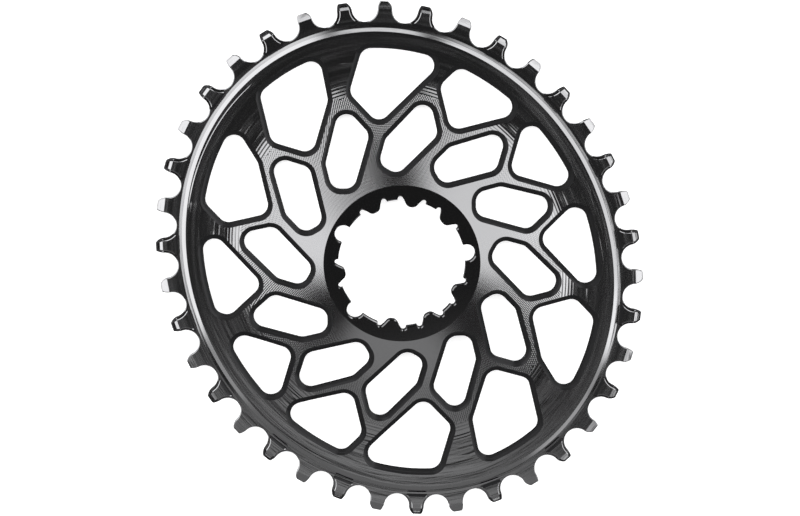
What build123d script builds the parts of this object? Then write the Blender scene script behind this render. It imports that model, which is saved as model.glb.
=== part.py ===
"""One-piece oval narrow-wide bicycle chainring for a three-bolt splined crank.

The ring lies flat on the back of its rim. Z is the ring's axis and points to the outboard side, X runs along
the long axis of the oval. Lengths are in millimetres and angles in degrees.
"""
from build123d import *
from math import atan2, cos, degrees, hypot, pi, radians, sin, sqrt
import os

# Chain and oval: the rollers sit on an ellipse, each one chain pitch from the next
pitch = 12.7
tooth_count = 38
ovality = 1.131
tooth_phase = 0.4
seat_radius = 4.05

# Teeth, measured outward from the line between two neighbouring rollers
tooth_tip = 2.6
lead_flank_radius = 3.2
trail_flank_radius = 6.2
tip_rounding = 0.5
narrow_thickness = 2.0
narrow_tip_thickness = 0.7
wide_thickness = 3.8
wide_tip_thickness = 1.0
wide_break_thickness = 3.0
wide_bevel_start = 0.4
wide_bevel_break = 1.3
pad_border = 0.65
pad_heel = -3.3
pad_foot = -4.5
pad_foot_half_width = 3.5
pad_tip_lead = 0.65
pad_tip_trail = 1.25

# Rim, with depths below the pitch curve
rim_thickness = 4.0
bevel_foot_depth = 5.0
bevel_top_depth = 7.1
window_rim_depth = 12.1

# Dished web, as thick as the rim, rising from an ellipse to the round hub
hub_radius = 24.6
hub_rise = 5.05
web_foot_radius = 51.6

# The rim's bevel rings and the web's faces are each made of this many narrow flats
flat_count = 48

# Inner windows: a blunt bend and four rounded corners as (radius, angle from the window's own line)
window_count = 12
window_corner_radius = 3.75
inner_window_line = -3.8
inner_window_bend = (39.35, 11.1)
inner_window_corners = [(54.0, -5.75), (41.5, -12.9), (27.45, 6.15), (31.85, 17.15)]

# Outer windows: a tip towards the hub, two sides, and a spoke side that slants out to the rim.
# Places are (outward, counter-clockwise) from the window's own line. Going round half the ring, two spokes
# are broader than the rest, and the sides of two windows are cut back where the web carries a gusset.
outer_window_line = 68.23
outer_window_tip = (43.63, 0.69)
lead_side_angle = 35.0
trail_side_angle = -55.0
spoke_side_angle = -25.0
lead_side_length = 14.92
broad_spoke_lead_side_length = 13.65
broad_spoke_windows = (3, 4)
gussets = {4: ((53.8, -13.8), -27.3), 5: ((53.06, -12.78), -36.9)}

# Spline in the hub: teeth and bolt notches share ten equal places
spline_count = 10
spline_line = 32.65
bolt_places = (0, 2, 6)
spline_radius = 20.0
spline_tooth_radius = 17.9
spline_tooth_tip = 2.4
spline_tooth_root = 11.1
relief_width = 1.8
relief_reach = 21.0
relief_angle = 9.9
bolt_notch_radius = 2.75
bolt_circle_radius = 20.55

# Heights that follow from the sizes above
rim_middle = rim_thickness / 2
narrow_back = rim_middle - narrow_thickness / 2
narrow_front = rim_middle + narrow_thickness / 2
hub_front = rim_thickness + hub_rise
half_gap = pitch / 2 - seat_radius


def ellipse_point(short_axis, angle):
    return Vector(ovality * short_axis * cos(angle), short_axis * sin(angle))


def roller_angles(short_axis):
    """Angles on the pitch ellipse of all rollers and of the one that follows the last."""
    angles = [pi / 2 + radians(tooth_phase)]
    for step in range(tooth_count):
        start = ellipse_point(short_axis, angles[-1])
        low = angles[-1]
        high = low + 2 * pitch / short_axis
        for halving in range(45):
            middle = (low + high) / 2
            if (ellipse_point(short_axis, middle) - start).length < pitch:
                low = middle
            else:
                high = middle
        angles.append(middle)
    return angles


def closed_pitch_axis():
    """Short half-axis of the pitch ellipse on which the chain closes after its last link."""
    low = pitch * tooth_count / (2 * pi * ovality) * 0.9
    high = low * 1.4
    for halving in range(45):
        middle = (low + high) / 2
        angles = roller_angles(middle)
        if angles[-1] - angles[0] > 2 * pi:
            low = middle
        else:
            high = middle
    return middle


def tooth_place(start, end):
    """Frame in the middle between two rollers, its X axis outward and its Y axis along the chain."""
    middle = (start + end) * 0.5
    outward = degrees(atan2(end.Y - start.Y, end.X - start.X)) - 90
    return Location((middle.X, middle.Y, 0), (0, 0, outward))


def placed(place, outward, along):
    return (place * Location((outward, along, 0))).position


def flank_corners(flank_radius):
    """Middle of a rounded flank and its corner at the tip, (outward, along) on the leading side."""
    centre = flank_radius - half_gap
    rounding_height = tooth_tip - tip_rounding
    rounding_reach = sqrt((flank_radius - tip_rounding) ** 2 - rounding_height ** 2)
    half_angle = atan2(rounding_height, rounding_reach) / 2
    middle = (flank_radius * sin(half_angle), centre - flank_radius * cos(half_angle))
    return middle, (tooth_tip, centre - rounding_reach - tip_rounding / 3)


def tooth_outline(place):
    """One tooth of the outline: two flats follow the leading flank, one the flatter trailing flank."""
    lead_middle, lead_corner = flank_corners(lead_flank_radius)
    trail_corner = flank_corners(trail_flank_radius)[1]
    Polyline(
        placed(place, 0, -half_gap),
        placed(place, *lead_middle),
        placed(place, *lead_corner),
        placed(place, trail_corner[0], -trail_corner[1]),
        placed(place, 0, half_gap),
    )


def roller_seat(roller, place, next_place):
    """The seat of one roller, from the foot of one tooth to the foot of the next."""
    foot = placed(place, 0, half_gap)
    next_foot = placed(next_place, 0, -half_gap)
    inward = ((foot + next_foot) * 0.5 - roller).normalized()
    ThreePointArc(foot, roller + inward * seat_radius, next_foot)


def outer_window_corners(number):
    length = broad_spoke_lead_side_length if number in broad_spoke_windows else lead_side_length
    far = 2 * hypot(*outer_window_tip)
    shoulder = along_side(outer_window_tip, lead_side_angle, length)
    spoke_end = along_side(shoulder, spoke_side_angle, far)
    if number in gussets:
        corner, angle = gussets[number]
        return [outer_window_tip, corner, along_side(corner, angle, far), spoke_end, shoulder]
    return [outer_window_tip, along_side(outer_window_tip, trail_side_angle, far), spoke_end, shoulder]


def along_side(start, angle, length):
    return (start[0] + length * cos(radians(angle)), start[1] + length * sin(radians(angle)))


def flats_around(long_axis, short_axis, height):
    """Corners of a polygon about an ellipse. Its sides face the same ways for every ellipse."""
    turn = 2 * pi / flat_count
    corners = []
    for side in range(flat_count):
        reach, next_reach = [
            hypot(long_axis * cos(facing), short_axis * sin(facing))
            for facing in (side * turn, (side + 1) * turn)
        ]
        along = (next_reach - reach * cos(turn)) / sin(turn)
        corners.append(Vector(reach, along, height).rotate(Axis.Z, degrees(side * turn)))
    return corners


def flat_face(corners):
    return Face(Wire.make_polygon(corners))


def tapered_block(foot, top):
    """A block between two such polygons at different heights, with one flat from each side to the next."""
    sides = [flat_face([foot[side - 1], foot[side], top[side], top[side - 1]]) for side in range(flat_count)]
    return Solid(Shell([flat_face(foot), flat_face(top)] + sides))


def is_sharp(corner):
    """Whether a window's corner is one of the rounded ones, not a blunt bend."""
    bends = [inner_window_bend[0]] + [hypot(*gusset_corner) for gusset_corner, angle in gussets.values()]
    return all(abs(hypot(corner.X, corner.Y) - bend) > 0.01 for bend in bends)


# Pitch curve, rollers and teeth
pitch_short_axis = closed_pitch_axis()
pitch_long_axis = ovality * pitch_short_axis
rollers = [ellipse_point(pitch_short_axis, angle) for angle in roller_angles(pitch_short_axis)[:tooth_count]]
teeth = [tooth_place(rollers[number], rollers[(number + 1) % tooth_count]) for number in range(tooth_count)]

# What the tip bevels take off both faces of a narrow tooth
tip_slope = (narrow_thickness - narrow_tip_thickness) / 2 / tooth_tip
bevel_end = 2 * tooth_tip
with BuildPart() as tip_bevels:
    with BuildSketch(Plane.XZ):
        with BuildLine():
            Polyline(
                (0, narrow_front),
                (bevel_end, narrow_front - tip_slope * bevel_end),
                (bevel_end, rim_thickness),
                (0, rim_thickness),
                close=True,
            )
        make_face()
    extrude(amount=pitch / 2, both=True)
    mirror(about=Plane.XY.offset(rim_middle))

# The raised pads of a wide tooth, front and back in one block with a bevelled section
with BuildPart() as wide_pads:
    with BuildSketch(Plane.XZ.offset(-pitch / 2)):
        with BuildLine():
            Polyline(
                (pad_foot, rim_middle),
                (pad_foot, narrow_front),
                (pad_heel, rim_middle + wide_thickness / 2),
                (wide_bevel_start, rim_middle + wide_thickness / 2),
                (wide_bevel_break, rim_middle + wide_break_thickness / 2),
                (tooth_tip, rim_middle + wide_tip_thickness / 2),
                (tooth_tip, rim_middle),
                close=True,
            )
        make_face()
    extrude(amount=pitch)
    mirror(about=Plane.XY.offset(rim_middle))
    with BuildSketch(Plane.XY):
        with BuildLine():
            Polyline(
                (pad_foot, -pad_foot_half_width),
                (tooth_tip, -pad_tip_lead),
                (tooth_tip, pad_tip_trail),
                (0, half_gap - pad_border),
                (pad_foot, pad_foot_half_width),
                close=True,
            )
        make_face()
    extrude(amount=rim_thickness, mode=Mode.INTERSECT)

# The opening in the hub: round, with bolt notches, spline teeth and the grooves beside them
with BuildSketch() as hub_opening:
    Circle(spline_radius)
    spline_step = 360 / spline_count
    for place in range(spline_count):
        line = spline_line + place * spline_step
        if place in bolt_places:
            with PolarLocations(bolt_circle_radius, 1, start_angle=line):
                Circle(bolt_notch_radius)
        else:
            for side in (-relief_angle, relief_angle):
                with PolarLocations(relief_reach / 2, 1, start_angle=line + side):
                    Rectangle(relief_reach, relief_width)
            with PolarLocations(0, 1, start_angle=line):
                Polygon(
                    (spline_tooth_radius, -spline_tooth_tip / 2),
                    (hub_radius, -spline_tooth_root / 2),
                    (hub_radius, spline_tooth_root / 2),
                    (spline_tooth_radius, spline_tooth_tip / 2),
                    align=None,
                    mode=Mode.SUBTRACT,
                )

# All windows through the web
with BuildSketch() as windows:
    corners = [
        (radius * cos(radians(angle)), radius * sin(radians(angle)))
        for radius, angle in [inner_window_bend] + inner_window_corners
    ]
    with PolarLocations(0, window_count, start_angle=inner_window_line):
        Polygon(*corners, align=None)
    fillet(windows.vertices().filter_by(is_sharp), window_corner_radius)
with BuildSketch() as outer_windows:
    step = 360 / window_count
    for number in range(window_count // 2):
        with PolarLocations(0, 2, start_angle=outer_window_line + number * step):
            Polygon(*outer_window_corners(number), align=None)
    Ellipse(pitch_long_axis - window_rim_depth, pitch_short_axis - window_rim_depth, mode=Mode.INTERSECT)
    fillet(outer_windows.vertices().filter_by(is_sharp), window_corner_radius)

# The ring itself
with BuildPart() as chainring:
    with BuildSketch(Plane.XY.offset(narrow_back)):
        with BuildLine():
            for number in range(tooth_count):
                next_number = (number + 1) % tooth_count
                tooth_outline(teeth[number])
                roller_seat(rollers[next_number], teeth[number], teeth[next_number])
        make_face()
    extrude(amount=narrow_thickness)
    with Locations(*teeth):
        add(tip_bevels.part, mode=Mode.SUBTRACT)
    with Locations(*teeth[::2]):
        add(wide_pads.part)
    # The rim's faces stand out from the toothed plate over a bevel ring on both sides
    for face_height, foot_height in ((0, narrow_back), (rim_thickness, narrow_front)):
        bevel_foot, bevel_top = [
            flats_around(pitch_long_axis - depth, pitch_short_axis - depth, height)
            for depth, height in ((bevel_foot_depth, foot_height), (bevel_top_depth, face_height))
        ]
        add(tapered_block(bevel_foot, bevel_top))
    # The web rises from its elliptical foot to the round hub, and is hollow behind
    for foot_height, mode in ((rim_thickness, Mode.ADD), (0, Mode.SUBTRACT)):
        web_foot = flats_around(ovality * web_foot_radius, web_foot_radius, foot_height)
        web_top = flats_around(hub_radius, hub_radius, foot_height + hub_rise)
        add(tapered_block(web_foot, web_top), mode=mode)
    for opening in (windows, outer_windows, hub_opening):
        extrude(opening.sketch, amount=hub_front, mode=Mode.SUBTRACT)

chainring.part.label = "chainring"
os.makedirs("parts", exist_ok=True)
export_step(chainring.part, "parts/chainring.step")
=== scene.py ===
"""Black anodised oval chainring, lying on a pale floor and seen from above."""
from math import asin, atan2, ceil, cos, degrees, hypot, pi, radians, sin, sqrt, tan

import bmesh
import bpy
import numpy as np
from mathutils import Matrix, Vector
from mathutils.geometry import delaunay_2d_cdt


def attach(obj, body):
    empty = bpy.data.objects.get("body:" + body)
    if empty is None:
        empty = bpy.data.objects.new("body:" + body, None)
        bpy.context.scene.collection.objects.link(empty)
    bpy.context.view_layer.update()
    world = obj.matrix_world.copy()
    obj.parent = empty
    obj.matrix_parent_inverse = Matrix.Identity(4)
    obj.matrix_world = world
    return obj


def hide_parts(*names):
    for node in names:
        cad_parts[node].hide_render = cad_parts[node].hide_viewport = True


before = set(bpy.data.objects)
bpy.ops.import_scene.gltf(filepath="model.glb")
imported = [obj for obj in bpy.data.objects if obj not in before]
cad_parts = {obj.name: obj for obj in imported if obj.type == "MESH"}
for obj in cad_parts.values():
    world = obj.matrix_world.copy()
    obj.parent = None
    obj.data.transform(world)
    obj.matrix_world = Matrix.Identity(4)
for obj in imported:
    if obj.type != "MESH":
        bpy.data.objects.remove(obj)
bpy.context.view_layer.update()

# Lengths are in millimetres in the ring's own frame, and become metres when the mesh is made.
# Angles are in degrees.
MM = 0.001

# Chain and oval
PITCH = 12.7
TOOTH_COUNT = 38
OVALITY = 1.131
TOOTH_PHASE = 0.4
SEAT_RADIUS = 4.05
HALF_GAP = PITCH / 2 - SEAT_RADIUS

# Searches by halving, with the limits for the oval's short half-axis and for places on the web
HALVINGS = 40
AXIS_LEAST = 0.95
AXIS_SPAN = 1.2
WEB_SHARE_LIMITS = (-0.9, 2.5)

# Teeth, outward from the line between two rollers
TOOTH_TIP = 2.6
LEAD_FLANK_RADIUS = 3.2
TRAIL_FLANK_RADIUS = 6.2
TIP_ROUNDING = 0.5
TIP_BEVEL_START = 0.3
SEAT_PLACE = -1.0
NARROW_FRONT = 3.0
NARROW_TIP_FRONT = 2.35
EDGE_WIDTH = 0.24
EDGE_DROP = 0.13

# The raised pad of a wide tooth: places along the tooth with the pad's height there
PAD_SECTION = [(-4.2, 3.0), (-3.3, 3.9), (0.4, 3.9), (1.3, 3.5), (2.28, 2.7)]
PAD_STATIONS = [-3.7, -3.3, -2.7, -2.1, -1.5, -0.9, -0.4, 0.0, 0.3, 0.4, 0.85, 1.3, 1.6, 1.9]
PAD_BORDER = 0.65
PAD_NARROWEST = 3.6
PAD_DRAFT = 0.07
PAD_LIP = 0.2
PAD_LIP_DROP = 0.1

# Rim, with depths below the pitch curve: the bevel ring in two slopes
RIM_THICKNESS = 4.0
BEVEL_SECTION = [(4.95, 3.0), (5.9, 3.55), (7.06, 4.0)]
WINDOW_RIM_DEPTH = 12.1

# The short groove inside the bevel ring: its section as shares of its depth, the line of its middle,
# how it fades with the cosine of the turn from there, and how it drifts inward
GROOVE_SECTION = [(7.72, 0.0), (7.9, 1.0), (8.06, 0.0)]
GROOVE_DEPTH = 0.065
GROOVE_LINE = 30.0
GROOVE_FADE = 20.0
GROOVE_FADE_START = 18.6
GROOVE_LEAD = 1.5
GROOVE_SWING = 0.5

# Dished web
HUB_RADIUS = 24.6
HUB_RISE = 5.05
WEB_FOOT_SHORT = 51.6
WEB_FOOT_LONG = WEB_FOOT_SHORT * OVALITY
RIDGE_BLEND = 0.16

# Windows; a chamfer is given by the places of its edges, aside from the opening and below the face
WINDOW_COUNT = 12
WINDOW_CORNER = 3.75
INNER_LINE = -3.8
INNER_CORNERS = [(39.35, 11.1), (54.0, -5.75), (41.5, -12.9), (27.45, 6.15), (31.85, 17.15)]
OUTER_LINE = 68.23
OUTER_TIP = (43.63, 0.69)
LEAD_ANGLE = 35.0
TRAIL_ANGLE = -55.0
SPOKE_ANGLE = -25.0
LEAD_LENGTH = 14.92
BROAD_LEAD_LENGTH = 13.65
BROAD_WINDOWS = (3, 4)
GUSSETS = {4: ((53.8, -13.8), -27.3), 5: ((53.06, -12.78), -36.9)}
SIDE_REACH = 20.0
WINDOW_INSET = 0.2
FRONT_CHAMFER = [(1.55, 0.0), (0.85, 0.6), (0.7, 0.85), (0.0, 1.55)]
BACK_CHAMFER = [(0.9, 0.0), (0.0, 0.9)]

# Spline in the hub: ten places, of which three are bolt notches and seven are teeth between relief grooves
SPLINE_COUNT = 10
SPLINE_LINE = 32.65
SPLINE_GAP = 1.0
BOLT_PLACES = (0, 2, 6)
SPLINE_RADIUS = 20.0
SPLINE_TIP_RADIUS = 17.9
SPLINE_TIP_ROUNDING = 1.9
SPLINE_TIP_HALF = 1.25
SPLINE_FLANK_SLOPE = 0.65
SPLINE_FLANK_START = 0.25
RELIEF_RADIUS = 0.9
RELIEF_CENTRE = 20.2
RELIEF_ANGLE = 10.6
RELIEF_SWEEP = 75.0
NOTCH_RADIUS = 2.75
NOTCH_CENTRE = 20.55
SPLINE_CHAMFER = 0.3

# Broken edges of the teeth and of the hub's opening, front and back
TOOTH_EDGE = [(EDGE_WIDTH, 0.0), (0.0, EDGE_DROP)]
HUB_EDGE = [(SPLINE_CHAMFER, 0.0), (0.0, SPLINE_CHAMFER)]
EDGES = {"teeth": (TOOTH_EDGE, TOOTH_EDGE), "hub": (HUB_EDGE, HUB_EDGE)}

# How fine the mesh is
ARC_STEP = 6.0
TIP_STEP = 9.0
RELIEF_STEP = 15.0
WEB_STEP = 1.15
RIDGE_REACH = 1.4
RIDGE_STEP = 0.35
CLEARANCE = 0.5
ROUND_COUNT = 360
HUB_COUNT = 180
RIM_ARC_COUNT = 14
MITRE_LIMIT = 0.5
MERGE_DISTANCE = 1e-6
SHARP_ANGLE = 7.5

# Finishes of the ring's faces in the order of their materials, and the limits of where they lie; walls and
# borders carry painted shade
FINISHES = ["web", "hub", "smooth", "ridge", "walls", "borders"]
RIDGE_SHARES = (0.9, 1.22)
STEEP = 43.0
BORDER_HEEL = -3.7
BORDER_TIP = 0.5
BORDER_HALF = 3.6

# Colour and gloss of the finishes
ANODISED = (0.255, 0.255, 0.26)
# Painted shade: steep walls and the tips and edges of wide teeth get a much darker copy of the anodised
# colour
WALL_COLOUR_WITH_PAINTED_SHADE = (0.027, 0.027, 0.028)
# Painted shade: the borders round the pads of wide teeth get a darker copy of the anodised colour
BORDER_COLOUR_WITH_PAINTED_SHADE = (0.16, 0.16, 0.163)
EDGE_TINT = 0.1
WEB_ROUGHNESS = 0.13
HUB_ROUGHNESS = 0.08
RIM_ROUGHNESS = 0.12
WALL_ROUGHNESS = 0.25
WALL_METALLIC = 0.5

# Streaks and patches by their width and length, and the limits between which they fade
FINE_STREAKS = (0.35, 9.0)
BROAD_STREAKS = (1.6, 14.0)
FOOT_STREAKS = (0.5, 12.0)
RIDGE_PATCHES = (4.0, 30.0)
RIDGE_FADE = (0.3, 0.65)
SCORE_PATCHES = (4.0, 12.0)
SCORE_FADE = (0.45, 0.65)
DULL_STREAKS = (1.5, 30.0)
DULL_FADE = (0.4, 0.7)
DULL_ROUGHNESS = 0.055
NOISE_DETAIL = 2.0

# Cutter marks on the web: rows of dimples, with their depth at two places outward
WEB_MARKS = 0.0045
MILL_ROW = 0.95
MILL_DIMPLES = 400
MILL_PLAIN_SHARE = 0.2
MILL_REACH = (27.0, 44.0)
MILL_DEPTHS = (0.5, 2.8)

# Turning marks on the rim and the teeth
RIM_MARKS = 0.016
BROAD_SHARE = 4.0
RIM_BAND = 4.3
BAND_SHARE = 0.6

# Lines along the foot of the web, up to where they end, and scores in patches beyond
FOOT_MARKS = 0.018
RIDGE_ROW = 0.95
RIDGE_LEAST = 0.5
RIDGE_END = (0.8, 2.0)
SCORE_ROW = 1.7
SCORE_SHARE = 1.7

# Floor, and the camera with the directions to its right and upward
FLOOR_SIZE = 6000.0
FLOOR_DROP = 0.05
FLOOR_COLOUR = (0.85, 0.85, 0.85)
FLOOR_GLOW = 0.6
CAMERA_PLACE = (105.705, -11.782, 774.701)
CAMERA_RIGHT = (-0.50186, -0.86319, 0.05515)
CAMERA_UP = (0.85445, -0.50466, -0.12343)
CAMERA_LENS = 111.223
SENSOR_WIDTH = 36.0

# Sky. A panel is its middle and half-width about the axis, its nearest and farthest tilt from straight
# above and the softness of its edges, all in degrees, and its level. Large panels are made of several bands.
WORLD_LEVEL = 0.03
LIGHT_PANELS = [
    (38, 53, 12, 27, 3.5, 2.5),
    (38, 53, 27, 52, 3.5, 3.35),
    (38, 53, 52, 66, 3.5, 2.4),
    (259, 45, 15, 31, 3.0, 2.15),
    (259, 45, 31, 42, 3.0, 3.35),
    (259, 45, 42, 60, 3.0, 2.45),
    (268, 36, 60, 67, 3.0, 0.95),
    (259, 45, 70, 84, 2.0, 3.1),
    (325, 14, 38, 47, 2.0, 2.6),
    (98, 10, 38, 56, 3.0, 0.85),
    (152, 27, 11, 31, 1.2, 0.6),
    (154, 49, 33, 75, 3.0, 0.36),
    (207, 23, 42, 62, 3.0, 0.9),
    (17, 28, 80, 90, 1.2, 1.5),
]


def search(low, high, too_low):
    """The place between two limits where a test turns from true to false, found by halving."""
    for _ in range(HALVINGS):
        middle = (low + high) / 2
        if too_low(middle):
            low = middle
        else:
            high = middle
    return middle


def polar(radius, angle):
    return np.array([radius * cos(radians(angle)), radius * sin(radians(angle))])


def arc(centre, radius, start, end, step=ARC_STEP):
    """Points of an arc between two angles, both ends included."""
    count = max(2, ceil(abs(end - start) / step) + 1)
    return [
        (centre[0] + radius * cos(radians(a)), centre[1] + radius * sin(radians(a)))
        for a in np.linspace(start, end, count)
    ]


def arc_between(centre, first, last):
    """The shorter arc about a centre from one point to another."""
    start = degrees(atan2(first[1] - centre[1], first[0] - centre[0]))
    end = degrees(atan2(last[1] - centre[1], last[0] - centre[0]))
    end += 360 * round((start - end) / 360)
    return arc(centre, np.linalg.norm(np.asarray(first) - centre), start, end)


def rounded_corner(before, corner, after, radius):
    """Arc that rounds one corner of a polygon."""
    corner = np.asarray(corner, float)
    to_before = (before - corner) / np.linalg.norm(before - corner)
    to_after = (after - corner) / np.linalg.norm(after - corner)
    half = np.arccos(np.clip(to_before @ to_after, -1, 1)) / 2
    bisector = to_before + to_after
    centre = corner + bisector / np.linalg.norm(bisector) * radius / sin(half)
    first = corner + to_before * radius / tan(half)
    last = corner + to_after * radius / tan(half)
    return arc_between(centre, first, last)


def turned(points, angle):
    """Points turned about the ring's axis by an angle."""
    c, s = cos(radians(angle)), sin(radians(angle))
    return [(x * c - y * s, x * s + y * c) for x, y in points]


def ellipse_loop(long_axis, short_axis, count):
    turns = np.linspace(0, 2 * pi, count, endpoint=False)
    return [(long_axis * cos(t), short_axis * sin(t)) for t in turns]


def subdivided(loop, step):
    """A closed outline with further points along its long straight sides."""
    points = []
    for (x0, y0), (x1, y1) in zip(loop, loop[1:] + loop[:1]):
        count = max(1, round(hypot(x1 - x0, y1 - y0) / step))
        points += [(x0 + (x1 - x0) * n / count, y0 + (y1 - y0) * n / count) for n in range(count)]
    return points


def inset(loop, distance):
    """A closed outline moved to its left by a distance, with mitred corners."""
    points = np.asarray(loop, float)
    ahead = np.roll(points, -1, axis=0) - points
    ahead /= np.linalg.norm(ahead, axis=1)[:, None]
    normal = np.column_stack([-ahead[:, 1], ahead[:, 0]])
    before = np.roll(normal, 1, axis=0)
    middle = normal + before
    middle /= np.linalg.norm(middle, axis=1)[:, None]
    stretch = np.clip((middle * normal).sum(axis=1), MITRE_LIMIT, 1.0)
    return points + middle * (distance / stretch)[:, None]


def inside(points, loop):
    """Which points lie inside a closed outline."""
    x, y = points[:, 0], points[:, 1]
    result = np.zeros(len(points), bool)
    loop = np.asarray(loop)
    for (x0, y0), (x1, y1) in zip(np.roll(loop, 1, axis=0), loop):
        if y0 != y1:
            result ^= ((y0 > y) != (y1 > y)) & (x < (x1 - x0) * (y - y0) / (y1 - y0) + x0)
    return result


def pitch_point(short_axis, angle):
    """Point of the pitch ellipse at an angle in radians."""
    return np.array([OVALITY * short_axis * cos(angle), short_axis * sin(angle)])


def roller_angles(short_axis):
    """Angles on the pitch ellipse, in radians, of all rollers and of the one that follows the last."""
    angles = [pi / 2 + radians(TOOTH_PHASE)]
    for _ in range(TOOTH_COUNT):
        last = angles[-1]
        start = pitch_point(short_axis, last)

        def is_near(angle):
            return np.linalg.norm(pitch_point(short_axis, angle) - start) < PITCH

        angles.append(search(last, last + 2 * PITCH / short_axis, is_near))
    return angles


def closed_pitch_axis():
    """Short half-axis of the pitch ellipse on which the chain closes after its last link."""
    low = PITCH * TOOTH_COUNT / (2 * pi * OVALITY) * AXIS_LEAST

    def goes_too_far(short_axis):
        angles = roller_angles(short_axis)
        return angles[-1] - angles[0] > 2 * pi

    return search(low, low * AXIS_SPAN, goes_too_far)


def web_share(x, y):
    """How far down the dished web a point lies: 0 at the hub's edge, 1 at the web's foot."""
    low, high = (np.full_like(x, limit) for limit in WEB_SHARE_LIMITS)
    for _ in range(HALVINGS):
        middle = (low + high) / 2
        long_axis = HUB_RADIUS + middle * (WEB_FOOT_LONG - HUB_RADIUS)
        short_axis = HUB_RADIUS + middle * (WEB_FOOT_SHORT - HUB_RADIUS)
        outside = (x / long_axis) ** 2 + (y / short_axis) ** 2 > 1
        low, high = np.where(outside, middle, low), np.where(outside, high, middle)
    return middle


def web_rise(points):
    """Height of the web above the rim's face, blended softly into the rim at its foot."""
    points = np.asarray(points, float)
    rise = HUB_RISE * (1 - web_share(points[:, 0], points[:, 1]))
    soft = (rise + RIDGE_BLEND) ** 2 / (4 * RIDGE_BLEND)
    rise = np.where(np.abs(rise) < RIDGE_BLEND, soft, np.maximum(rise, 0))
    return np.minimum(rise, HUB_RISE)


def inner_window():
    """Outline of one inner window about its own line, clockwise."""
    corners = [polar(radius, angle) for radius, angle in INNER_CORNERS]
    outline = []
    for number, corner in enumerate(corners):
        after = corners[(number + 1) % len(corners)]
        outline += rounded_corner(corners[number - 1], corner, after, WINDOW_CORNER)
    return outline


def rim_corner(start, angle, turn, long_axis, short_axis, side):
    """Arc that rounds the corner between a window's straight side and the rim, in the ring's frame.

    The side starts at a point and runs out at an angle; the window lies to its left for side 1, right for -1.
    """
    ahead = polar(1, angle + turn)
    left = np.array([-ahead[1], ahead[0]])
    start = np.array(turned([start], turn)[0]) + side * WINDOW_CORNER * left
    axes = np.array([long_axis - WINDOW_CORNER, short_axis - WINDOW_CORNER])
    a = ((ahead / axes) ** 2).sum()
    b = (start * ahead / axes ** 2).sum()
    c = ((start / axes) ** 2).sum() - 1
    centre = start + ahead * (-b + sqrt(b * b - a * c)) / a
    outward = centre / axes ** 2
    outward /= np.linalg.norm(outward)
    on_side = centre - side * WINDOW_CORNER * left
    on_rim = centre + WINDOW_CORNER * outward
    return arc_between(centre, on_side, on_rim)


def outer_window(number, long_axis, short_axis):
    """Outline of one outer window in the ring's frame, clockwise; some have a gusset that bends a side."""
    turn = OUTER_LINE + number * 360 / WINDOW_COUNT
    kind = number % (WINDOW_COUNT // 2)
    tip = np.array(OUTER_TIP)
    length = BROAD_LEAD_LENGTH if kind in BROAD_WINDOWS else LEAD_LENGTH
    shoulder = tip + polar(length, LEAD_ANGLE)
    spoke_end = shoulder + polar(SIDE_REACH, SPOKE_ANGLE)
    trail_start, trail_angle = GUSSETS.get(kind, (OUTER_TIP, TRAIL_ANGLE))
    trail_start = np.array(trail_start)
    trail_end = trail_start + polar(SIDE_REACH, trail_angle)
    if kind in GUSSETS:
        bend = turned(rounded_corner(trail_end, trail_start, tip, WINDOW_CORNER), turn)
        tip_next = trail_start
    else:
        bend = []
        tip_next = trail_end
    tip_arc = turned(rounded_corner(tip_next, tip, shoulder, WINDOW_CORNER), turn)
    shoulder_arc = turned(rounded_corner(tip, shoulder, spoke_end, WINDOW_CORNER), turn)
    spoke_corner = rim_corner(shoulder, SPOKE_ANGLE, turn, long_axis, short_axis, -1)
    trail_corner = rim_corner(trail_start, trail_angle, turn, long_axis, short_axis, 1)[::-1]
    start = atan2(spoke_corner[-1][1] / short_axis, spoke_corner[-1][0] / long_axis)
    end = atan2(trail_corner[0][1] / short_axis, trail_corner[0][0] / long_axis)
    end += 2 * pi * round((start - end) / (2 * pi))
    rim_turns = np.linspace(start, end, RIM_ARC_COUNT)[1:-1]
    rim = [(long_axis * cos(t), short_axis * sin(t)) for t in rim_turns]
    return tip_arc + shoulder_arc + spoke_corner + rim + trail_corner + bend


def wall_outline(outline):
    """A window's outline with its walls a little inside the plain form, and with points along its sides."""
    return subdivided([tuple(point) for point in inset(outline, -WINDOW_INSET)], WEB_STEP)


def bolt_notch():
    """Half of the hub's opening at a bolt, from its edge inward, and the whole round of the notch."""
    squares = NOTCH_CENTRE ** 2 + SPLINE_RADIUS ** 2 - NOTCH_RADIUS ** 2
    meet = degrees(np.arccos(squares / (2 * NOTCH_CENTRE * SPLINE_RADIUS)))
    corner = polar(SPLINE_RADIUS, meet)
    sweep = degrees(atan2(corner[1], corner[0] - NOTCH_CENTRE))
    half = arc((0, 0), SPLINE_RADIUS, 180 / SPLINE_COUNT - SPLINE_GAP, meet)[:-1]
    return half, arc((NOTCH_CENTRE, 0), NOTCH_RADIUS, -sweep, sweep)


def spline_tooth():
    """Half of the hub's opening at a spline tooth, from its edge through the relief groove to the tip."""
    relief_edge = RELIEF_ANGLE + degrees(asin(RELIEF_RADIUS / SPLINE_RADIUS))
    relief_ends = (RELIEF_ANGLE + RELIEF_SWEEP, RELIEF_ANGLE - RELIEF_SWEEP)
    flank_out = SPLINE_RADIUS - SPLINE_FLANK_START
    flank_half = SPLINE_TIP_HALF + SPLINE_FLANK_SLOPE * (flank_out - SPLINE_TIP_RADIUS)
    flank = np.array([flank_out, flank_half])
    corner = np.array([SPLINE_TIP_RADIUS, SPLINE_TIP_HALF])
    half = arc((0, 0), SPLINE_RADIUS, 180 / SPLINE_COUNT - SPLINE_GAP, relief_edge)
    half += arc(polar(RELIEF_CENTRE, RELIEF_ANGLE), RELIEF_RADIUS, *relief_ends, RELIEF_STEP)
    half.append((flank_out, flank_half))
    return half + rounded_corner(flank, corner, corner - [0, 1], SPLINE_TIP_ROUNDING)


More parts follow.
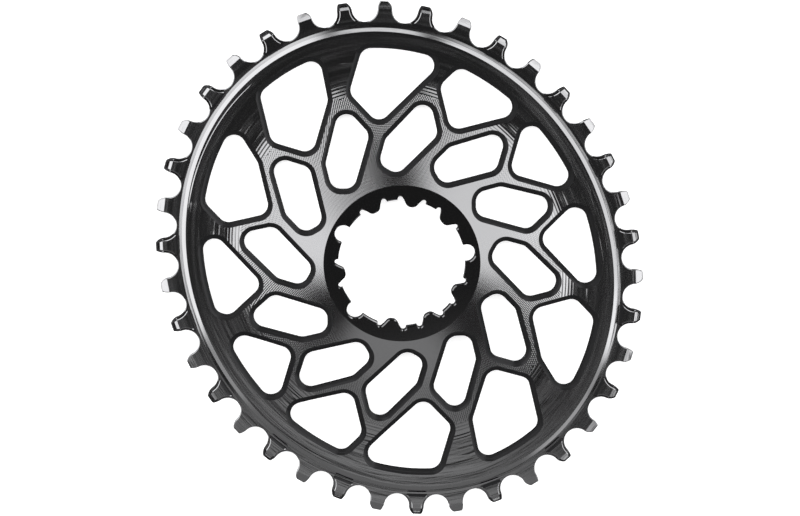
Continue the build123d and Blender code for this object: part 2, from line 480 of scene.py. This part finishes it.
def hub_opening():
    """Outline of the hub's opening, counter-clockwise."""
    outline = []
    for number in range(SPLINE_COUNT):
        half, notch = bolt_notch() if number in BOLT_PLACES else (spline_tooth(), [])
        mirrored = [(x, -y) for x, y in half]
        turn = SPLINE_LINE + number * 360 / SPLINE_COUNT
        outline += turned(mirrored + notch + half[::-1], turn)
    return outline


def tooth_half(flank_radius):
    """Leading half of a tooth's outline as (outward, along) points, from its foot to its tip."""
    centre = flank_radius - HALF_GAP
    height = TOOTH_TIP - TIP_ROUNDING
    reach = sqrt((flank_radius - TIP_ROUNDING) ** 2 - height ** 2)
    top = degrees(atan2(height, reach))
    start = degrees(asin(TIP_BEVEL_START / flank_radius))
    flank = arc((centre, 0), -flank_radius, 0, -start)
    flank += arc((centre, 0), -flank_radius, -start, -top)[1:]
    tip = arc((centre - reach, height), -TIP_ROUNDING, -top, -90, TIP_STEP)[1:]
    return [(out, along) for along, out in flank + tip]


def tooth_front(out):
    """Front height of a tooth's face, bevelled towards its tip."""
    drop = (NARROW_FRONT - NARROW_TIP_FRONT) / (TOOTH_TIP - TIP_BEVEL_START)
    return NARROW_FRONT - drop * np.clip(out - TIP_BEVEL_START, 0, None)


def tooth_frame(rollers, number):
    """Middle between two rollers, with the outward and the forward direction there."""
    first, last = rollers[number], rollers[(number + 1) % TOOTH_COUNT]
    forward = (last - first) / PITCH
    return (first + last) / 2, np.array([forward[1], -forward[0]]), forward


def on_tooth(place, out, along):
    """Point at a distance outward and along from the middle of a tooth."""
    middle, outward, forward = place
    point = middle + out * outward + along * forward
    return (point[0], point[1])


def seat_arc(roller, first, last):
    """The seat of a roller, on the side towards the ring's axis."""
    start = degrees(atan2(first[1] - roller[1], first[0] - roller[0]))
    end = degrees(atan2(last[1] - roller[1], last[0] - roller[0]))
    inward = degrees(atan2(-roller[1], -roller[0]))
    start = inward + (start - inward + 180) % 360 - 180
    end = inward + (end - inward + 180) % 360 - 180
    return arc(roller, SEAT_RADIUS, start, end)


def toothed_outline(rollers):
    """The ring's outer outline, counter-clockwise, with each point's place outward on its tooth."""
    lead = tooth_half(LEAD_FLANK_RADIUS)
    trail = [(out, -along) for out, along in tooth_half(TRAIL_FLANK_RADIUS)][::-1]
    points, places, tooth_ends = [], [], []
    for number in range(TOOTH_COUNT):
        following = (number + 1) % TOOTH_COUNT
        tooth = tooth_frame(rollers, number)
        next_tooth = tooth_frame(rollers, following)
        tooth_ends.append((len(points), len(points) + len(lead) + len(trail)))
        points += [on_tooth(tooth, out, along) for out, along in lead + trail]
        places += [out for out, along in lead + trail]
        seat_ends = on_tooth(tooth, 0, HALF_GAP), on_tooth(next_tooth, 0, -HALF_GAP)
        seat = seat_arc(rollers[following], *seat_ends)
        points += seat[1:-1]
        places += [SEAT_PLACE] * (len(seat) - 2)
    return np.array(points), np.array(places), tooth_ends


def pad_half_widths(out, border):
    """Half-widths of a wide tooth's pad on the leading and the trailing side, at a place along the tooth."""
    if out > 0:
        return [
            sqrt(radius ** 2 - out ** 2) - radius + HALF_GAP - border
            for radius in (LEAD_FLANK_RADIUS, TRAIL_FLANK_RADIUS)
        ]
    depth = min(-out, PAD_NARROWEST)
    half = PITCH / 2 - sqrt((SEAT_RADIUS + border) ** 2 - depth ** 2)
    return [half, half]


def pad_outline(place, aside=0.0):
    """A pad's outline, drawn in by a distance, with the places along the tooth of its points on one side.

    It starts at the tip, runs down the trailing side to the heel and back up the leading side.
    """
    outs = [PAD_SECTION[0][0] + aside] + PAD_STATIONS + [PAD_SECTION[-1][0] - aside]
    widths = [pad_half_widths(out, PAD_BORDER + aside) for out in outs]
    trail = [on_tooth(place, out, width[1]) for out, width in zip(outs, widths)]
    lead = [on_tooth(place, out, -width[0]) for out, width in zip(outs, widths)]
    return trail[::-1] + lead, outs


def ring_shape():
    """All outlines of the ring."""
    short_axis = closed_pitch_axis()
    long_axis = OVALITY * short_axis
    rollers = [pitch_point(short_axis, angle) for angle in roller_angles(short_axis)[:TOOTH_COUNT]]
    teeth, places, tooth_ends = toothed_outline(rollers)
    windows = {}
    for number in range(WINDOW_COUNT):
        turn = INNER_LINE + number * 360 / WINDOW_COUNT
        outer = outer_window(number, long_axis - WINDOW_RIM_DEPTH, short_axis - WINDOW_RIM_DEPTH)
        windows[f"inner_{number}"] = wall_outline(turned(inner_window(), turn))
        windows[f"outer_{number}"] = wall_outline(outer)
    return {
        "pitch_axes": (long_axis, short_axis),
        "teeth": teeth,
        "places": places,
        "tooth_ends": tooth_ends,
        "tooth_frames": [tooth_frame(rollers, number) for number in range(TOOTH_COUNT)],
        "windows": windows,
        "hub": hub_opening()[::-1],
    }


class Sheet:
    """One face of the ring: its points with their heights, and the lines that its triangles must keep."""

    def __init__(self, front):
        self.front = front
        self.points = []
        self.heights = []
        self.edges = []

    def mirrored(self, heights):
        """Heights given for the front, mirrored for the back."""
        return [h if self.front else RIM_THICKNESS - h for h in heights]

    def web_heights(self, points):
        return web_rise(points) + (RIM_THICKNESS if self.front else 0)

    def add(self, points, heights):
        first = len(self.points)
        self.points += [(float(x), float(y)) for x, y in points]
        self.heights += [float(h) for h in heights]
        return list(range(first, len(self.points)))

    def loop(self, points, heights):
        numbers = self.add(points, heights)
        self.edges += list(zip(numbers, numbers[1:] + numbers[:1]))
        return numbers

    def web_loop(self, points):
        return self.loop(points, self.web_heights(points))

    def line(self, numbers):
        self.edges += list(zip(numbers[:-1], numbers[1:]))


def add_pad(sheet, place):
    """The raised pad of a wide tooth; returns the numbers of its foot's points where the tip bevel starts."""
    section = np.array(PAD_SECTION)
    loops = []
    for aside in (0.0, PAD_DRAFT, PAD_DRAFT + PAD_LIP):
        outline, outs = pad_outline(place, aside)
        foot = tooth_front(np.array(outs))
        top = np.interp(outs, section[:, 0], section[:, 1])
        drop = 0.0 if aside > PAD_DRAFT else PAD_LIP_DROP
        heights = list(np.maximum(top - drop, foot) if aside else foot)
        loops.append(sheet.loop(outline, sheet.mirrored(heights[::-1] + heights)))
    foot, top = loops[0], loops[-1]
    count = len(PAD_STATIONS) + 2
    for out in section[1:-1, 0]:
        number = 1 + PAD_STATIONS.index(out)
        sheet.line([top[count - 1 - number], top[count + number]])
    number = 1 + PAD_STATIONS.index(TIP_BEVEL_START)
    return foot[count + number], foot[count - 1 - number]


def add_teeth(sheet, shape):
    """The border round all teeth, the pads, and the lines where tip bevels start; returns the border.

    The second point from each end of a tooth's outline lies where its tip bevel starts.
    """
    edge_heights = tooth_front(np.minimum(shape["places"], TOOTH_TIP - EDGE_WIDTH))
    border = sheet.loop(inset(shape["teeth"], EDGE_WIDTH), sheet.mirrored(edge_heights))
    for number, (start, end) in enumerate(shape["tooth_ends"]):
        ends = [border[start + 1], border[end - 2]]
        if number % 2:
            sheet.line(ends)
        else:
            feet = add_pad(sheet, shape["tooth_frames"][number])
            sheet.line([ends[0], feet[0]])
            sheet.line([ends[1], feet[1]])
    return border


def add_rim(sheet, long_axis, short_axis):
    """The lines of the bevel ring and of the groove inside it."""
    for depth, height in BEVEL_SECTION:
        ring = ellipse_loop(long_axis - depth, short_axis - depth, ROUND_COUNT)
        sheet.loop(ring, sheet.mirrored([height] * ROUND_COUNT))
    turns = np.linspace(0, 2 * pi, ROUND_COUNT, endpoint=False)
    aside = (turns - radians(GROOVE_LINE) + pi) % (2 * pi) - pi
    groove = GROOVE_DEPTH * np.clip(GROOVE_FADE * np.cos(aside) - GROOVE_FADE_START, 0, 1)
    swing = np.clip(-GROOVE_LEAD * aside, -GROOVE_SWING, GROOVE_SWING) * (groove > 0)
    for depth, share in GROOVE_SECTION:
        x = (long_axis - depth - swing) * np.cos(turns)
        y = (short_axis - depth - swing) * np.sin(turns)
        sheet.loop(np.column_stack([x, y]), sheet.mirrored(RIM_THICKNESS - share * groove))


def web_points(long_axis, short_axis):
    """Points spread over the web and the rim's face, closer together where the web meets the rim."""
    reach = WEB_FOOT_SHORT - HUB_RADIUS
    rings = list(np.arange(WEB_STEP / 2, reach - RIDGE_REACH, WEB_STEP))
    rings += list(np.arange(reach - RIDGE_REACH, reach + RIDGE_REACH, RIDGE_STEP))
    points = []
    for ring in rings:
        share = ring / reach
        a = HUB_RADIUS + share * (WEB_FOOT_LONG - HUB_RADIUS)
        b = HUB_RADIUS + share * reach
        count = int(pi * (a + b) / WEB_STEP)
        shift = (len(points) % 2) / 2
        points += [(a * cos(t), b * sin(t)) for t in (np.arange(count) + shift) * 2 * pi / count]
    points = np.array(points)
    x, y = points[:, 0], points[:, 1]
    edge = (x / (long_axis - CLEARANCE)) ** 2 + (y / (short_axis - CLEARANCE)) ** 2
    return points[(edge < 1) & (np.hypot(x, y) > HUB_RADIUS + CLEARANCE)]


def ring_sheet(shape, front):
    """One face of the ring: its vertices, its triangles and the vertices along its borders."""
    sheet = Sheet(front)
    long_axis, short_axis = shape["pitch_axes"]
    borders = {"teeth": add_teeth(sheet, shape)}
    add_rim(sheet, long_axis, short_axis)
    sheet.web_loop(ellipse_loop(HUB_RADIUS, HUB_RADIUS, HUB_COUNT))
    rim_depth = GROOVE_SECTION[-1][0] + GROOVE_SWING
    free = web_points(long_axis - rim_depth, short_axis - rim_depth)
    chamfer_width = (FRONT_CHAMFER if front else BACK_CHAMFER)[0][0]
    for name, outline in shape["windows"].items():
        borders[name] = sheet.web_loop(inset(outline, chamfer_width))
        free = free[~inside(free, inset(outline, chamfer_width + CLEARANCE))]
    borders["hub"] = sheet.web_loop(inset(shape["hub"], SPLINE_CHAMFER))
    sheet.add(free, sheet.web_heights(free))
    return triangulated(sheet, borders)


def triangulated(sheet, borders):
    """Triangles of a sheet inside its outer border and outside its openings."""
    corners = [Vector(point) for point in sheet.points]
    result = delaunay_2d_cdt(corners, sheet.edges, [], 0, MERGE_DISTANCE)
    points = np.array([(p.x, p.y) for p in result[0]])
    triangles = np.array(result[2])
    origins = result[3]
    middles = points[triangles].mean(axis=1)
    keep = np.ones(len(triangles), bool)
    for name, numbers in borders.items():
        within = inside(middles, np.array(sheet.points)[numbers])
        keep &= within if name == "teeth" else ~within
    heights = [sheet.heights[numbers[0]] for numbers in origins]
    place = {number: new for new, numbers in enumerate(origins) for number in numbers}
    borders = {name: [place[number] for number in numbers] for name, numbers in borders.items()}
    return np.column_stack([points, heights]), triangles[keep], borders


def on_wide_border(points, shape, above):
    """Which points lie on a wide tooth, above a place along it, but outside its pad."""
    result = np.zeros(len(points), bool)
    for place in shape["tooth_frames"][::2]:
        middle, outward, forward = place
        out, along = (points - middle) @ outward, (points - middle) @ forward
        near = (out > above) & (np.abs(along) < BORDER_HALF)
        near[near] = ~inside(points[near], pad_outline(place)[0])
        result |= near
    return result


def face_finishes(vertices, triangles, shape):
    """Number of each triangle's finish on one face of the ring."""
    corners = vertices[triangles]
    middles = corners.mean(axis=1)
    share = web_share(middles[:, 0], middles[:, 1])
    normal = np.cross(corners[:, 1] - corners[:, 0], corners[:, 2] - corners[:, 0])
    steep = np.abs(normal[:, 2]) < cos(radians(STEEP)) * np.linalg.norm(normal, axis=1)
    # Borders round the pads of wide teeth take the borders finish, which carries painted shade
    bordering = on_wide_border(middles[:, :2], shape, BORDER_HEEL)
    at_tip = on_wide_border(middles[:, :2], shape, BORDER_TIP)
    on_ridge = (share > RIDGE_SHARES[0]) & (share < RIDGE_SHARES[1])
    # Steep faces and the tips of wide teeth take the walls finish, which carries painted shade
    places = [steep | at_tip, bordering, share < 0, on_ridge, share < 1]
    finishes = [FINISHES.index(name) for name in ("walls", "borders", "hub", "ridge", "web")]
    return list(np.select(places, finishes, FINISHES.index("smooth")))


def edge_finishes(name, row, outline, shape):
    """Number of each face's finish in one row of faces along an edge, counted from the front."""
    if name == "teeth":
        wide = on_wide_border(outline, shape, BORDER_HEEL)
        # Edges of wide teeth take the walls finish, which carries painted shade
        return np.where(wide, FINISHES.index("walls"), FINISHES.index("smooth"))
    front_of_hub = name == "hub" and row == 0
    return np.full(len(outline), FINISHES.index("hub" if front_of_hub else "walls"))


def ring_mesh(shape):
    """Vertices and faces of the whole ring, with the number of each face's finish."""
    front, front_faces, front_borders = ring_sheet(shape, True)
    back, back_faces, back_borders = ring_sheet(shape, False)
    vertices = [front, back]
    faces = [tuple(face) for face in front_faces]
    faces += [tuple(face[::-1] + len(front)) for face in back_faces]
    finishes = face_finishes(front, front_faces, shape) + face_finishes(back, back_faces, shape)
    count = len(front) + len(back)
    outlines = dict(shape["windows"], teeth=shape["teeth"], hub=shape["hub"])
    for name, outline in outlines.items():
        front_edge, back_edge = EDGES.get(name, (FRONT_CHAMFER, BACK_CHAMFER))
        places = [(aside, drop, True) for aside, drop in front_edge[1:]]
        places += [(aside, drop, False) for aside, drop in back_edge[:0:-1]]
        rows = [front_borders[name]]
        for aside, drop, in_front in places:
            points = inset(outline, aside)
            if name == "teeth":
                level = (front[front_borders[name]] if in_front else back[back_borders[name]])[:, 2]
            else:
                level = web_rise(points) + (RIM_THICKNESS if in_front else 0)
            vertices.append(np.column_stack([points, level - drop if in_front else level + drop]))
            rows.append(list(range(count, count + len(points))))
            count += len(points)
        rows.append([number + len(front) for number in back_borders[name]])
        for row, (upper, lower) in enumerate(zip(rows, rows[1:])):
            finishes += list(edge_finishes(name, row, outline, shape))
            for n in range(len(upper)):
                m = (n + 1) % len(upper)
                faces.append((upper[n], upper[m], lower[m], lower[n]))
    return np.vstack(vertices), faces, finishes


def calc(tree, operation, first, second=0.0, third=0.0):
    """A maths node; each operand is a number or the output of another node."""
    node = tree.nodes.new("ShaderNodeMath")
    node.operation = operation
    for socket, value in zip(node.inputs, (first, second, third)):
        if isinstance(value, (int, float)):
            socket.default_value = value
        else:
            tree.links.new(value, socket)
    return node.outputs[0]


def fade(tree, value, start, end):
    """0 below the start, 1 above the end, and soft between them. A start above the end turns it round."""
    node = tree.nodes.new("ShaderNodeMapRange")
    node.interpolation_type = "SMOOTHSTEP"
    node.inputs["From Min"].default_value = min(start, end)
    node.inputs["From Max"].default_value = max(start, end)
    node.inputs["To Min"].default_value = 0.0 if start < end else 1.0
    node.inputs["To Max"].default_value = 1.0 if start < end else 0.0
    tree.links.new(value, node.inputs["Value"])
    return node.outputs["Result"]


def split_coordinates(tree, kind):
    """The X, Y and Z outputs of one kind of coordinates."""
    coordinates = tree.nodes.new("ShaderNodeTexCoord")
    split = tree.nodes.new("ShaderNodeSeparateXYZ")
    tree.links.new(coordinates.outputs[kind], split.inputs[0])
    return split.outputs["X"], split.outputs["Y"], split.outputs["Z"]


def oval_place(tree):
    """Outward place in millimetres, counted on the short axis, and turn in radians, of a point."""
    x, y, _ = split_coordinates(tree, "Object")
    across = calc(tree, "DIVIDE", x, OVALITY)
    square = calc(tree, "MULTIPLY_ADD", across, across, calc(tree, "POWER", y, 2))
    outward = calc(tree, "DIVIDE", calc(tree, "SQRT", square), MM)
    return outward, calc(tree, "ARCTAN2", y, across)


def streaks(tree, outward, turn, width, length):
    """Noise drawn out along the ring, with streaks of a width and a length in millimetres."""
    around = WEB_FOOT_SHORT / length
    place = tree.nodes.new("ShaderNodeCombineXYZ")
    tree.links.new(calc(tree, "DIVIDE", outward, width), place.inputs["X"])
    tree.links.new(calc(tree, "MULTIPLY", calc(tree, "COSINE", turn), around), place.inputs["Y"])
    tree.links.new(calc(tree, "MULTIPLY", calc(tree, "SINE", turn), around), place.inputs["Z"])
    noise = tree.nodes.new("ShaderNodeTexNoise")
    noise.inputs["Scale"].default_value = 1.0
    noise.inputs["Detail"].default_value = NOISE_DETAIL
    tree.links.new(place.outputs[0], noise.inputs["Vector"])
    return noise.outputs["Fac"]


def waves(tree, value, period):
    return calc(tree, "SINE", calc(tree, "MULTIPLY", value, 2 * pi / period))


def web_relief(tree, outward, turn):
    """Rows of small dimples left by the cutter, deeper towards the foot of the web."""
    rows = waves(tree, outward, MILL_ROW)
    dimples = waves(tree, turn, 2 * pi / MILL_DIMPLES)
    relief = calc(tree, "MULTIPLY_ADD", rows, dimples, calc(tree, "MULTIPLY", rows, MILL_PLAIN_SHARE))
    inner, outer = MILL_DEPTHS
    depth = calc(tree, "MULTIPLY_ADD", fade(tree, outward, *MILL_REACH), outer - inner, inner)
    return calc(tree, "MULTIPLY", relief, depth)


def smooth_relief(tree, outward, turn):
    """Fine and broad turning streaks on the rim and the teeth, over faint bands that follow the rim."""
    fine = streaks(tree, outward, turn, *FINE_STREAKS)
    broad = streaks(tree, outward, turn, *BROAD_STREAKS)
    bands = calc(tree, "MULTIPLY", waves(tree, outward, RIM_BAND), BAND_SHARE)
    return calc(tree, "ADD", calc(tree, "MULTIPLY_ADD", broad, BROAD_SHARE, fine), bands)


def ridge_relief(tree, outward, turn):
    """The cutter lines that follow the foot of the web, and the scores in patches beyond them."""
    strength = fade(tree, streaks(tree, outward, turn, *RIDGE_PATCHES), *RIDGE_FADE)
    strength = calc(tree, "MULTIPLY_ADD", strength, 1 - RIDGE_LEAST, RIDGE_LEAST)
    lines = calc(tree, "MULTIPLY", waves(tree, outward, RIDGE_ROW), strength)
    beyond = fade(tree, outward, *(WEB_FOOT_SHORT + past for past in RIDGE_END))
    near = calc(tree, "SUBTRACT", 1.0, beyond)
    patches = fade(tree, streaks(tree, outward, turn, *SCORE_PATCHES), *SCORE_FADE)
    patches = calc(tree, "MULTIPLY", patches, beyond)
    scores = calc(tree, "MULTIPLY", waves(tree, outward, SCORE_ROW), patches)
    lines = calc(tree, "MULTIPLY_ADD", scores, SCORE_SHARE, calc(tree, "MULTIPLY", lines, near))
    return calc(tree, "ADD", lines, streaks(tree, outward, turn, *FOOT_STREAKS))


def anodised(name, base, roughness, relief=None, depth=0.0, dull_roughness=0.0):
    """Black anodised metal; a relief is a function that returns a height from the oval place, in depths."""
    material = bpy.data.materials.new(name)
    material.use_nodes = True
    tree = material.node_tree
    shader = tree.nodes["Principled BSDF"]
    shader.inputs["Base Color"].default_value = (*base, 1)
    shader.inputs["Metallic"].default_value = 1.0
    shader.inputs["Roughness"].default_value = roughness
    shader.inputs["Specular Tint"].default_value = (EDGE_TINT, EDGE_TINT, EDGE_TINT, 1)
    if relief:
        bump = tree.nodes.new("ShaderNodeBump")
        bump.inputs["Strength"].default_value = 1.0
        bump.inputs["Distance"].default_value = depth * MM
        tree.links.new(relief(tree, *oval_place(tree)), bump.inputs["Height"])
        tree.links.new(bump.outputs[0], shader.inputs["Normal"])
    if dull_roughness:
        dull = fade(tree, streaks(tree, *oval_place(tree), *DULL_STREAKS), *DULL_FADE)
        uneven = calc(tree, "MULTIPLY_ADD", dull, dull_roughness, roughness)
        tree.links.new(uneven, shader.inputs["Roughness"])
    return material


def cut_walls_with_painted_shade():
    """The half dull finish of steep cut faces and of the tips and edges of wide teeth, with painted shade: a
    much darker copy of the anodised colour.
    """
    material = anodised("cut_walls_with_painted_shade", WALL_COLOUR_WITH_PAINTED_SHADE, WALL_ROUGHNESS)
    shader = material.node_tree.nodes["Principled BSDF"]
    shader.inputs["Metallic"].default_value = WALL_METALLIC
    shader.inputs["Specular IOR Level"].default_value = 0.0
    return material


def make_ring():
    vertices, faces, finishes = ring_mesh(ring_shape())
    mesh = bpy.data.meshes.new("ring")
    mesh.from_pydata((vertices * MM).tolist(), [], [tuple(int(n) for n in face) for face in faces])
    for material in (
        anodised("milled_web", ANODISED, WEB_ROUGHNESS, web_relief, WEB_MARKS),
        anodised("turned_hub", ANODISED, HUB_ROUGHNESS),
        anodised("turned_rim", ANODISED, RIM_ROUGHNESS, smooth_relief, RIM_MARKS, DULL_ROUGHNESS),
        anodised("web_foot", ANODISED, RIM_ROUGHNESS, ridge_relief, FOOT_MARKS, DULL_ROUGHNESS),
        cut_walls_with_painted_shade(),
        # The borders round the pads, with painted shade
        anodised("tooth_borders_with_painted_shade", BORDER_COLOUR_WITH_PAINTED_SHADE, RIM_ROUGHNESS),
    ):
        mesh.materials.append(material)
    mesh.polygons.foreach_set("material_index", finishes)
    mesh.polygons.foreach_set("use_smooth", [True] * len(mesh.polygons))
    whole = bmesh.new()
    whole.from_mesh(mesh)
    bmesh.ops.recalc_face_normals(whole, faces=whole.faces)
    whole.to_mesh(mesh)
    whole.free()
    mesh.set_sharp_from_angle(angle=radians(SHARP_ANGLE))
    ring = bpy.data.objects.new("ring", mesh)
    bpy.context.scene.collection.objects.link(ring)
    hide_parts("chainring")
    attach(ring, "root")


def make_floor():
    """A pale floor that looks white and still takes the ring's shadow."""
    bpy.ops.mesh.primitive_plane_add(size=FLOOR_SIZE * MM)
    floor = bpy.context.object
    floor.name = "floor"
    floor.location.z = -FLOOR_DROP * MM
    material = bpy.data.materials.new("floor")
    material.use_nodes = True
    tree = material.node_tree
    tree.nodes.clear()
    diffuse = tree.nodes.new("ShaderNodeBsdfDiffuse")
    diffuse.inputs["Color"].default_value = (*FLOOR_COLOUR, 1)
    path = tree.nodes.new("ShaderNodeLightPath").outputs
    seen = calc(tree, "MAXIMUM", path["Is Camera Ray"], path["Is Glossy Ray"])
    seen = calc(tree, "MAXIMUM", seen, path["Is Transmission Ray"])
    glow = tree.nodes.new("ShaderNodeEmission")
    tree.links.new(calc(tree, "MULTIPLY", seen, FLOOR_GLOW), glow.inputs["Strength"])
    both = tree.nodes.new("ShaderNodeAddShader")
    tree.links.new(diffuse.outputs[0], both.inputs[0])
    tree.links.new(glow.outputs[0], both.inputs[1])
    output = tree.nodes.new("ShaderNodeOutputMaterial")
    tree.links.new(both.outputs[0], output.inputs["Surface"])
    floor.data.materials.append(material)


def make_camera():
    camera = bpy.data.cameras.new("camera")
    camera.lens = CAMERA_LENS
    camera.sensor_width = SENSOR_WIDTH
    holder = bpy.data.objects.new("camera", camera)
    right, up = Vector(CAMERA_RIGHT), Vector(CAMERA_UP)
    turn = Matrix((right, up, right.cross(up))).transposed().to_4x4()
    holder.matrix_world = Matrix.Translation(Vector(CAMERA_PLACE) * MM) @ turn
    bpy.context.scene.collection.objects.link(holder)
    bpy.context.scene.camera = holder


def light_panel(tree, turn, tilt, middle, half_width, near, far, softness, level):
    """A soft-edged bright field of the sky, by its turn about the axis and its tilt from straight above."""
    from_middle = calc(tree, "WRAP", calc(tree, "SUBTRACT", turn, radians(middle)), pi, -pi)
    aside = calc(tree, "ABSOLUTE", from_middle)
    edge = radians(softness)
    across = fade(tree, aside, radians(half_width) + edge, radians(half_width) - edge)
    below = fade(tree, tilt, radians(near) - edge, radians(near) + edge)
    above = fade(tree, tilt, radians(far) + edge, radians(far) - edge)
    field = calc(tree, "MULTIPLY", across, calc(tree, "MULTIPLY", below, above))
    return calc(tree, "MULTIPLY", field, level)


def make_world():
    """A dim sky with soft-edged bright panels."""
    world = bpy.data.worlds.new("world")
    bpy.context.scene.world = world
    world.use_nodes = True
    tree = world.node_tree
    x, y, z = split_coordinates(tree, "Generated")
    turn = calc(tree, "ARCTAN2", y, x)
    tilt = calc(tree, "ARCCOSINE", z)
    level = WORLD_LEVEL
    for panel in LIGHT_PANELS:
        level = calc(tree, "ADD", level, light_panel(tree, turn, tilt, *panel))
    background = tree.nodes["Background"]
    background.inputs["Color"].default_value = (1, 1, 1, 1)
    tree.links.new(level, background.inputs["Strength"])


bpy.context.scene.view_settings.view_transform = "Standard"
make_ring()
make_floor()
make_camera()
make_world()
